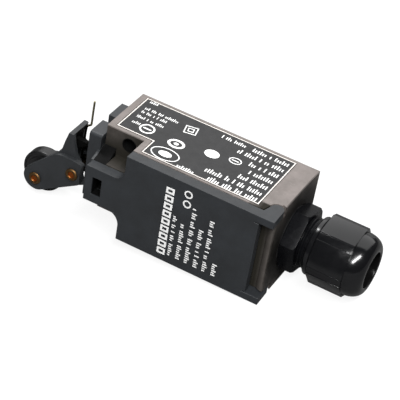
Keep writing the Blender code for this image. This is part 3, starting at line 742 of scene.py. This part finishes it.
def inset(outline, amount):
    """The outline with every side moved inwards by amount; its corners are near right angles."""
    count = len(outline)
    area = sum(outline[i - 1][0] * outline[i][1] - outline[i][0] * outline[i - 1][1]
               for i in range(count))
    sign = 1.0 if area > 0 else -1.0
    points = []
    for index in range(count):
        corner = Vector(outline[index])
        before = (corner - Vector(outline[index - 1])).normalized()
        after = (Vector(outline[(index + 1) % count]) - corner).normalized()
        shift = Vector((-before.y, before.x)) + Vector((-after.y, after.x))
        points.append(tuple(corner + shift * amount * sign))
    return points


class Print:
    """Thin ink on a flat face. It gathers closed slabs and makes them one piece."""

    def __init__(self, axis, low, high):
        self.axis = axis
        self.low = low
        self.high = high
        self.mesh = bmesh.new()

    def _take(self, shape):
        data = bpy.data.meshes.new("ink")
        shape.to_mesh(data)
        shape.free()
        self.mesh.from_mesh(data)
        bpy.data.meshes.remove(data)

    def patch(self, outline):
        self._take(prism(outline, self.axis, self.low, self.high))

    def frame(self, outer, inner):
        self._take(band(outer, inner, self.axis, self.low, self.high))

    def bar(self, first, second, width, height):
        self.patch([(first, second), (first + width, second),
                    (first + width, second + height), (first, second + height)])

    def ring(self, centre, radii, width, steps=48):
        inner = (radii[0] - width, radii[1] - width)
        self.frame(ellipse(centre, radii, steps), ellipse(centre, inner, steps))

    def disc(self, centre, radii, steps=40):
        self.patch(ellipse(centre, radii, steps))

    def ticks(self, start, length, height, seed, stroke, pitch):
        """A row of plain ticks with word-like gaps, in place of a line of print."""
        place = 0.0
        count = 0
        word = 4 + seed % 5
        while place < length:
            tall = height * (0.62, 1.0, 0.7, 0.86, 1.0, 0.66)[(count * 5 + seed * 3) % 6]
            if self.axis == "Y":
                self.bar(start[0], start[1] + place, tall, stroke)
            else:
                self.bar(start[0] - place, start[1], stroke, tall)
            count += 1
            place += pitch
            if count % word == 0:
                place += pitch * 1.1
                word = 3 + (word * 7 + seed) % 6
                count += 1

    def make(self, name, slot, body, material):
        item = new_object(name, self.mesh)
        finish_piece(item, slot, body, material=material, smooth=20)


def make_label():
    """Dark film with a pale border; plain ticks and shapes stand in for the printed words."""
    add_piece("label_film", prism(rounded(label_outline(), 0.4, 4), "Z", SIDE - 0.35, SIDE - 0.02),
              "label_black", "housing", ["rating_label"])
    edge = Print("Z", SIDE - 0.05, SIDE + 0.02)
    outline = label_outline()
    edge.frame(inset(outline, 0.02), inset(outline, 0.36))
    edge.make("label_border", "label_black", "housing", BORDER_INK)
    marks = Print("Z", SIDE - 0.05, SIDE + 0.01)
    rows = ((6.2, 16.4, 2.1), (9.4, 18.0, 2.1), (12.8, 9.2, 2.0), (16.3, 7.6, 2.0),
            (19.8, 9.4, 2.0), (23.3, 14.8, 2.0), (26.5, 11.5, 1.8))
    for seed, (place, length, height) in enumerate(rows):
        marks.ticks((-8.1, place - height / 2), length, height, seed + 1, 0.4, 0.78)
    marks.ticks((-22.0, 25.8), 7.4, 1.5, 2, 0.34, 0.66)
    small = ((27.2, -52.2, 2.8), (23.4, -43.2, 11.6), (21.3, -45.9, 8.6), (18.6, -45.4, 9.0),
             (15.4, -51.4, 2.4))
    for seed, (place, start, length) in enumerate(small):
        marks.ticks((start, place), length, 1.3, seed + 3, 0.3, 0.56)
    marks.ring((-48.3, 15.3), (2.4, 2.3), 0.55)
    marks.bar(-49.6, 15.0, 2.6, 0.6)
    marks.ring((-38.1, 14.4), (2.7, 2.1), 0.8)
    marks.disc((-38.1, 14.4), (0.8, 0.6), 20)
    marks.ring((-38.2, 8.1), (4.5, 2.9), 0.34)
    marks.disc((-38.2, 8.1), (2.1, 1.3), 24)
    marks.disc((-27.7, 16.9), (2.3, 1.9))
    marks.ring((-20.8, 18.3), (2.0, 1.5), 0.34)
    marks.bar(-21.9, 18.1, 2.2, 0.4)
    square = [(-39.5, 20.8), (-35.7, 21.6), (-36.5, 25.3), (-40.4, 24.5)]
    marks.frame(square, inset(square, 0.34))
    small_square = inset(square, 1.0)
    marks.frame(small_square, inset(small_square, 0.3))
    marks.ticks((-28.0, 4.95), 5.2, 1.5, 4, 0.4, 0.7)
    marks.make("label_print", "label_black", "housing", WHITE_INK)


def make_cover_print():
    """A row of open boxes, two rings and rows of ticks, where the real cover carries words."""
    marks = Print("Y", -0.015, 0.03)
    for index in range(9):
        low = 2.3 + 2.72 * index
        boxed = [(-32.4, low), (-29.7, low), (-29.7, low + 2.15), (-32.4, low + 2.15)]
        marks.frame(boxed, inset(boxed, 0.64))
    marks.ring((-25.4, 26.6), (1.3, 1.3), 0.45)
    marks.ring((-25.4, 23.2), (1.3, 1.3), 0.45)
    rows = ((-28.3, 14.5, 1.2), (-25.5, 13.0, 1.5), (-22.6, 20.0, 1.5),
            (-19.7, 14.5, 1.5), (-16.8, 19.0, 1.5), (-13.8, 4.2, 1.5))
    for seed, (place, length, height) in enumerate(rows):
        marks.ticks((place - height / 2, 3.0), length, height, seed + 2, 0.42, 0.76)
    marks.make("cover_print", "cover_blue_grey", "cover", WHITE_INK)


# ---------------- head, lever and roller

def ear_outline():
    outline = arc(PIVOT, 2.2, -20, 220, 28)
    outline += [(-69.6, 1.3), (-67.8, 0.9), (-65.5, 2.1), (-62.5, 3.9), (-62.5, 6.6),
                (-64.6, 4.0), (-66.2, 3.6)]
    return outline


def make_head():
    foot = [(4.2, 9.6), (9.5, 9.6), (9.5, 23.3), (8.7, 22.4), (7.2, 21.4), (5.6, 20.8), (4.2, 20.4)]
    slot = (14.9, 18.3)
    flange = rounded([(7.7, 3.3), (26.5, 3.3), (26.5, 26.7), (7.7, 26.7)], 1.2)
    add_piece(
        "head_casting", prism(flange, "X", FLANGE_FRONT, HEAD_END - GAP), "cover_blue_grey",
        "housing", ["head_body"],
        join=[rod(6.5, "X", LINE, HEAD_END - 1, -52.3),
              prism(foot, "X", HEAD_END - 1, -54.4),
              *[prism(ear_outline(), "Y", *span) for span in EARS]],
        cut=[block((FLANGE_FRONT - 1, HEAD_END + 1), slot, (22.5, 28)),
             block((FLANGE_FRONT - 1, HEAD_END + 1), slot, (2, 7.5)),
             rod(2.7, "X", LINE, FLANGE_FRONT - 1, -51),
             rod(3.4, "X", LINE, FLANGE_FRONT - 1, FLANGE_FRONT + 1.0),
             block((-56.3, -54.0), (3.5, 8.8), (11.3, 18.2)),
             rod(RIVET_HOLE, "Y", PIVOT, 12, 23, 48)],
        round_by=0.4, material=HEAD_PLASTIC,
    )


CHEEK_PIVOT_END = [(-66.5, 2.6), (-66.1, 3.2), (-66.3, 6.4), (-66.2, 7.5), (-65.7, 9.8),
                   (-66.4, 10.2), (-67.9, 10.5), (-70.0, 10.7), (-72.8, 10.7), (-74.2, 10.4),
                   (-75.9, 9.6)]

HOOD_BACK = [(-76.0, 9.0), (-74.1, 11.3), (-73.7, 13.1), (-73.2, 15.2), (-72.2, 18.6)]
HOOD_FRONT = [(-70.6, 18.6), (-70.3, 17.0), (-69.9, 14.9), (-69.4, 13.4), (-69.0, 12.0),
              (-68.1, 10.6), (-67.3, 9.8), (-67.3, 9.0)]
HOOD_FRONT_FAR = [(-71.0, 18.6), (-70.8, 17.2), (-71.4, 15.8), (-71.5, 13.9), (-70.9, 12.3),
                  (-69.9, 11.4), (-68.3, 10.4), (-67.3, 9.6), (-67.3, 9.0)]


def make_lever():
    """Two cheeks joined by the hood, with the rib that meets the plunger under it."""
    back = HOOD_BACK + [(x + 1.6, z) for x, z in reversed(HOOD_BACK)]
    side = HOOD_BACK + HOOD_FRONT
    far_side = HOOD_BACK + HOOD_FRONT_FAR
    rib = arc((PLUNGER_TIP - GAP - 0.75, MIDDLE - 0.85), 0.75, -60, 90, 16)
    rib += [(-71.0, 14.9), (-72.6, 15.4), (-73.2, 12.6), (-72.8, 10.4)]
    shoulder = [(-75.6, 9.0), (-74.0, 10.4), (-67.3, 10.4), (-67.3, 9.0)]
    near_cheek = arc(AXLE, 4.2, 135, 302, 28) + CHEEK_PIVOT_END
    far_cheek = arc(AXLE, 3.3, 100, 300, 28) + CHEEK_PIVOT_END
    far_cheek += [(-76.4, 7.4), (-77.2, 4.4), (-78.4, 2.9)]
    holes = [rod(RIVET_HOLE, "Y", place, 10, 25, 48) for place in (PIVOT, AXLE)]
    add_piece(
        "lever_moulding", prism(near_cheek, "Y", 11.35, 13.05), "lever_blue_grey", "lever",
        ["roller_lever"],
        join=[prism(far_cheek, "Y", 21.85, 23.05),
              prism(side, "Y", 12.85, 14.05),
              prism(far_side, "Y", 20.35, 21.55),
              prism(rib, "Y", LINE_Y - 0.8, LINE_Y + 0.8),
              prism(back, "Y", 13.05, 21.35),
              prism(shoulder, "Y", 21.4, 22.2)],
        cut=holes, round_by=0.3,
    )


def make_roller():
    """A crowned wheel with a shallow groove in each side and a hub between the cheeks."""
    half = ROLLER_WIDTH / 2
    near, far = CHEEK_GAP
    left, right = LINE_Y - half, LINE_Y + half
    hub = [(0.0, RIVET_HOLE), (0.0, 2.5), (0.2, 2.7)]
    side = [(0.0, 2.7), (0.0, 5.0), (0.35, 5.2), (0.35, 5.9), (0.0, 6.1)]
    side += [(0.9 - 0.9 * math.cos(a), ROLLER_RADIUS - 0.8 + 0.8 * math.sin(a))
             for a in (math.radians(d) for d in range(10, 91, 16))]
    profile = [(near + x, r) for x, r in hub] + [(left + x, r) for x, r in side]
    profile += [(right - x, r) for x, r in side[::-1]] + [(far - x, r) for x, r in hub[::-1]]
    add_piece("roller_wheel_body", turned(profile, "Y", AXLE, 128), "roller_black",
              "roller_wheel", ["roller"])


def make_rivet(name, node, place, body):
    """A rivet with a low rolled rim round a dished end, on both sides."""
    near, far = RIVET_ENDS
    end = [(0.12, 0.0), (0.12, 0.95), (0.4, 1.08), (0.5, 1.25), (0.5, 1.6), (0.4, 1.9),
           (0.05, 2.05), (0.0, 2.0), (0.0, 1.4)]
    profile = [(near - out, radius) for out, radius in end]
    profile += [(far + out, radius) for out, radius in reversed(end)]
    add_piece(name, turned(profile, "Y", place, 64), "brass", body, [node], smooth=50,
              material=RIVET_BRASS)


SHORT_LEG = ((-63.1, 18.7, 8.4), (-65.0, 18.7, 8.2), (-67.0, 18.7, 7.95))
LONG_LEG = ((-70.75, 19.85, 9.0), (-70.5, 19.8, 13.0), (-70.3, 19.75, 17.2), (-69.9, 19.7, 18.5),
            (-69.1, 19.7, 19.1), (-68.75, 19.7, 19.8), (-68.7, 19.7, 23.8), (-68.6, 19.7, 27.9))


def make_lever_spring():
    """A coil round the pivot between two legs; the short one rests on the head."""
    radius = 2.0
    points = [Vector(place) for place in SHORT_LEG]
    steps = 30
    for index in range(steps + 1):
        angle = math.radians(78) + math.tau * 2.217 * index / steps
        points.append(Vector((PIVOT[0] + radius * math.cos(angle), 18.7 + 1.15 * index / steps,
                              PIVOT[1] + radius * math.sin(angle))))
    points += [Vector(place) for place in LONG_LEG]
    wire = new_object("lever_spring_wire", sweep(smooth_path(points, 4), 0.33, 16))
    shade(wire, SPRING_WIRE, 60)
    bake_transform(wire)
    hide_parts("lever_spring")


def make_plunger_seal():
    """The soft ring around the plunger where it leaves the head."""
    seal = [(FLANGE_FRONT + 0.35, 2.2), (FLANGE_FRONT + 0.35, 3.1), (FLANGE_FRONT - 0.35, 3.1),
            (FLANGE_FRONT - 0.55, 3.02), (FLANGE_FRONT - 0.7, 2.8), (FLANGE_FRONT - 0.95, 2.62),
            (FLANGE_FRONT - 1.25, 2.6), (FLANGE_FRONT - 1.38, 2.5), (FLANGE_FRONT - 1.38, 2.22)]
    add_piece("seal_ring", turned(seal, "X", LINE, 72), "rubber_black", "housing",
              ["plunger_seal"], smooth=45)


# ---------------- cable gland

def hexagon_outline():
    turns = [math.radians(GLAND_HEX_TURN + 60 * (index + 0.5)) for index in range(6)]
    return [(LINE_Y - GLAND_HEX_RADIUS * math.sin(a), MIDDLE + GLAND_HEX_RADIUS * math.cos(a))
            for a in turns]


def nut_outline():
    """Six wide flats, each edged by a fine groove, with a narrow flat across each corner."""
    corners = []
    for index in range(6):
        turn = math.radians(NUT_TURN + 60 * index)
        outward = Vector((-math.sin(turn), math.cos(turn)))
        sideways = Vector((-math.cos(turn), -math.sin(turn)))
        centre = Vector(LINE) + outward * NUT_FLAT_DISTANCE
        for side in (-1, 1):
            edge = centre + sideways * side * NUT_HALF_FLAT
            beyond = edge - outward * 0.22 + sideways * side * 0.16
            dip = edge - outward * 0.28 + sideways * side * 0.04
            strip = [edge, dip, beyond]
            corners += strip if side > 0 else strip[::-1]
    return [tuple(c) for c in corners]


def make_gland():
    """A hexagon with a screw thread into the housing and another for the cap nut."""
    start = -8.4
    thread = [(start, 0), (start, 7.2)]
    place = start + 0.4
    while place < 0.4:
        thread += [(place, 7.0), (place + 0.5, 7.8), (place + 0.75, 7.8), (place + 1.25, 7.0)]
        place += 1.5
    thread += [(1.0, 7.1), (1.6, 7.8), (5.0, 7.8), (5.0, 0)]
    neck = [(5.0, 0), (5.0, 7.4), (6.0, 7.4)]
    place = 6.0
    while place < 12.6:
        neck += [(place + 0.15, 7.25), (place + 0.55, 7.88), (place + 0.8, 7.88),
                 (place + 1.2, 7.25)]
        place += 1.35
    neck += [(13.6, 7.2), (14.0, 7.0), (14.0, 0)]
    bore = [(start - 1, 0), (start - 1, 5.2), (8.3, 5.2), (8.3, 6.4), (15, 6.4), (15, 0)]
    item = new_object("gland_nipple", prism(hexagon_outline(), "X", 1.1, GLAND_HEX_END))
    cone = [(-2, 0), (-2, 9.55), (1.1, 9.75), (1.7, 10.4), (5.3, 10.4), (GLAND_HEX_END, 9.8),
            (7.0, 9.0), (7.0, 0)]
    combine(item, "INTERSECT", [turned(cone, "X", LINE, 128)])
    soften(item, 0.25, 3, 20)
    settle(item)
    combine(item, "UNION", [turned(thread, "X", LINE, 96), turned(neck, "X", LINE, 96)])
    combine(item, "DIFFERENCE", [turned(bore, "X", LINE, 96)])
    finish_piece(item, "gland_black", "housing", ["gland_body"], GLAND_MATT, 30)


def make_cap_nut():
    """Six flats and a dome, with the bore narrowing to the cable's opening."""
    item = new_object("cap_nut_body", prism(nut_outline(), "X", NUT_FLATS - 0.3, NUT_FLATS_END))
    soften(item, 0.12, 2, 40)
    settle(item)
    dome = [(NUT_START, 0), (NUT_START, 8.3), (NUT_START + 0.25, 8.75), (NUT_START + 0.7, 8.95),
            (NUT_START + 1.5, 8.95), (NUT_START + 1.8, 8.6), (NUT_FLATS - 0.4, 8.6),
            (NUT_FLATS, 9.2), (NUT_FLATS_END - 1, 9.62)]
    dome += [(21.3 + 5.2 * math.sin(a), 6.1 + 3.52 * math.cos(a) ** 0.9)
             for a in (math.radians(d) for d in range(0, 85, 7))]
    dome += [(NUT_END - 0.02, 6.25), (NUT_END, 6.05), (NUT_END - 0.03, 5.8), (NUT_END - 0.25, 5.5),
             (NUT_END - 0.7, 5.4), (NUT_END - 0.7, 0)]
    combine(item, "UNION", [turned(dome, "X", LINE, 144)])
    bore = [(NUT_START - 1, 0), (NUT_START - 1, 8.25), (17.3, 8.25), (22.0, 7.0),
            (22.6, NUT_OPENING), (NUT_END + 1, NUT_OPENING), (NUT_END + 1, 0)]
    combine(item, "DIFFERENCE", [turned(bore, "X", LINE, 144)])
    finish_piece(item, "gland_black", "cap_nut", ["gland_cap_nut"], NUT_PLASTIC, 30)


# ---------------- contact block

def make_block_lid():
    """The ivory lid between the terminals, with two shallow grooves and two round dimples."""
    grooves = [block((start, start + 9.0), (10.3, 11.15), (13.9, 16.1)) for start in (-41.5, -26.5)]
    dimples = [rod(0.9, "Y", (place, MIDDLE), 10.3, 11.15, 32) for place in (-30.2, -17.0)]
    add_piece("block_lid_moulding",
              block((BLOCK_HEAD, BLOCK_GLAND), (BLOCK_FRONT - 1.8, BLOCK_FRONT - GAP), (11.2, 18.8)),
              "insulator_ivory", "housing", ["contact_block_lid"], cut=grooves + dimples,
              round_by=0.22)


def make_terminal(number, place, side):
    """A ribbed clamp and a round-headed screw with a slot across it."""
    ribs = [block((place - 2.2 + 1.1 * i, place - 1.8 + 1.1 * i), (9.7, 10.12), (side - 3, side + 3))
            for i in range(5)]
    add_piece(f"clamp_metal_{number}",
              block((place - 2.7, place + 2.7), (9.9, 10.9), (side - 2.7, side + 2.7)), "steel",
              "housing", [f"terminal_clamp_{number}"],
              cut=ribs + [rod(1.6, "Y", (place, side), 9, 12, 32)], round_by=0.12, segments=2)
    head = [(7.6, 0), (7.6, 1.5), (7.72, 1.95), (7.95, 2.28), (8.3, 2.46), (8.7, 2.5), (9.35, 2.5),
            (9.5, 2.4), (9.5, 1.3)]
    shank = []
    reach = 9.9
    while reach < 17.2:
        shank += [(reach, 1.3), (reach + 0.35, 1.08), (reach + 0.7, 1.3)]
        reach += 0.75
    add_piece(f"screw_metal_{number}",
              turned(head + shank + [(17.5, 1.3), (17.8, 1.0), (17.8, 0)], "Y", (place, side), 48),
              "steel", "housing", [f"terminal_screw_{number}"],
              cut=[block((place - 3, place + 3), (7, 8.5), (side - 0.35, side + 0.35))])


def helix(start, radius, length, turns):
    """Points of a compression spring along X, with its end turns closer together."""
    count = int(turns * 24)
    points = []
    for index in range(count + 1):
        share = index / count
        share -= math.sin(math.tau * share) / math.tau * 0.55
        angle = math.tau * index / 24
        points.append(Vector((start + length * share, LINE_Y + radius * math.cos(angle),
                              MIDDLE + radius * math.sin(angle))))
    return points


def make_compression_spring(name, node, start, radius, length, turns, wire):
    """A compression spring, built at one length, which in the switch shortens towards the gland by the
    plunger's travel.
    """
    item = add_piece(name, sweep(helix(start, radius, length, turns), wire, 14), "steel",
                     "housing", [node], smooth=60)
    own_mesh(item)


def make_contact_block():
    make_block_lid()
    number = 1
    for place in (NC_X, NO_X):
        for sign in (-1, 1):
            make_terminal(number, place, MIDDLE + sign * TERMINAL_OFFSET)
            number += 1
    make_compression_spring("plunger_spring_wire", "plunger_spring", -50.35, 3.2, 5.6, 3, 0.25)
    make_compression_spring("return_spring_wire", "carrier_return_spring", -20.95, 1.7, 4.5, 3.5,
                            0.25)


# ---------------- kept CAD pieces

ROUNDED_NODES = {"contact_block_body": 0.3, "contact_carrier": 0.25, "cover_gasket": 0.3,
                 "nc_contact_bridge": 0.15, "no_contact_bridge": 0.15, "terminal_plate_1": 0.15,
                 "terminal_plate_2": 0.15, "terminal_plate_3": 0.15, "terminal_plate_4": 0.15}


def round_kept_nodes():
    """Welds and bevels the plain pieces that stay as they come from the CAD."""
    for name, width in ROUNDED_NODES.items():
        item = frame["nodes"][name]
        weld = item.modifiers.new("weld", "WELD")
        weld.merge_threshold = WELD * MM
        soften(item, width, 2)


def paint_kept_nodes():
    slots = {entry["node"]: entry["material_slot"] for entry in frame["record"]["subparts"]}
    for name, item in frame["nodes"].items():
        shade(item, MATERIALS[slots[name]], 32)


# ---------------- floor, light and camera

REST_TILT = Vector((-0.1034, 0.0, 0.9946))     # the switch lies on its roller and its gland end
FLOOR_BOUNCE = 0.15
FLOOR_SHADE = 0.16                              # how much of a shadow shows on the card
FLOOR_GLOW = 0.86
AIM = Vector((0.0, 0.0, 0.02))

# Name, place and size in metres, watts, and turn about the light's own axis in degrees.
LIGHTS = (("sky", (-0.12, 0.55, 0.75), (1.5, 1.2), 8.5, 0.0),
          ("back", (-0.3, 0.95, 0.14), (0.9, 0.35), 0.5, 0.0),
          ("key", (-0.35, 0.12, 0.7), (0.06, 0.3), 1.6, 0.0),
          ("strip", (0.25, -0.52, 0.69), (0.6, 0.1), 12.0, 38.0))

LENS = 150.786
CAMERA_PLACE = Vector((120.72, -341.60, 309.30))
CAMERA_RIGHT = Vector((0.86654, 0.47860, 0.14161))
CAMERA_FORWARD = Vector((-0.30593, 0.73349, -0.60697))


def make_floor():
    """White card, lit from behind, that throws little light back up at the switch."""
    n = Nodes("floor_card")
    n.set(Roughness=0.9, Specular_IOR_Level=0.0)
    n.shader.inputs["Base Color"].default_value = (FLOOR_SHADE, FLOOR_SHADE, FLOOR_SHADE, 1.0)
    n.set(Emission_Color=(1.0, 1.0, 1.0, 1.0), Emission_Strength=FLOOR_GLOW)
    dim = n.add("ShaderNodeBsdfDiffuse")
    dim.inputs["Color"].default_value = (FLOOR_BOUNCE, FLOOR_BOUNCE, FLOOR_BOUNCE, 1.0)
    path = n.add("ShaderNodeLightPath")
    mix = n.add("ShaderNodeMixShader")
    n.link(path.outputs["Is Camera Ray"], mix.inputs[0])
    n.link(dim.outputs[0], mix.inputs[1])
    n.link(n.shader.outputs[0], mix.inputs[2])
    n.link(mix.outputs[0], n.tree.nodes["Material Output"].inputs["Surface"])
    mesh = bmesh.new()
    bmesh.ops.create_grid(mesh, x_segments=1, y_segments=1, size=1.2)
    floor = new_object("floor", mesh, Matrix())
    floor.data.materials.append(n.material)
    floor.rotation_euler = REST_TILT.normalized().to_track_quat("Z", "Y").to_euler()
    floor.location = TO_WORLD @ Vector((GLAND_END, MIDDLE, -0.1))


def make_light(name, place, size, power, turn):
    data = bpy.data.lights.new(name, "AREA")
    data.shape = "RECTANGLE"
    data.size, data.size_y = size
    data.energy = power
    lamp = place_in_scene(name, data)
    lamp.location = place
    aim = (AIM - Vector(place)).to_track_quat("-Z", "Y").to_matrix()
    lamp.rotation_euler = (aim @ Matrix.Rotation(math.radians(turn), 3, "Z")).to_euler()


def make_studio():
    make_floor()
    world = bpy.data.worlds.new("studio")
    world.use_nodes = True
    background = world.node_tree.nodes["Background"]
    background.inputs["Color"].default_value = (1.0, 1.0, 1.0, 1.0)
    background.inputs["Strength"].default_value = 0.04
    bpy.context.scene.world = world
    for light in LIGHTS:
        make_light(*light)
    scene = bpy.context.scene
    scene.view_settings.view_transform = "Standard"
    scene.view_settings.look = "None"


def make_camera():
    data = bpy.data.cameras.new("camera")
    data.sensor_fit = "HORIZONTAL"
    data.sensor_width = 36.0
    data.lens = LENS
    data.clip_start = 0.01
    data.clip_end = 10.0
    camera = place_in_scene("camera", data)
    forward = CAMERA_FORWARD.normalized()
    right = (CAMERA_RIGHT - forward * CAMERA_RIGHT.dot(forward)).normalized()
    up = right.cross(forward)
    turn = Matrix((right, up, -forward)).transposed().to_4x4()
    camera.matrix_world = Matrix.Translation(TO_WORLD @ CAMERA_PLACE) @ turn
    bpy.context.scene.camera = camera


def main():
    paint_kept_nodes()
    make_housing()
    make_cover()
    make_label()
    make_cover_print()
    make_head()
    make_lever()
    make_roller()
    make_rivet("pivot_rivet_metal", "pivot_rivet", PIVOT, "housing")
    make_rivet("roller_rivet_metal", "roller_rivet", AXLE, "lever")
    make_lever_spring()
    make_plunger_seal()
    make_gland()
    make_cap_nut()
    make_contact_block()
    round_kept_nodes()
    make_studio()
    make_camera()


main()
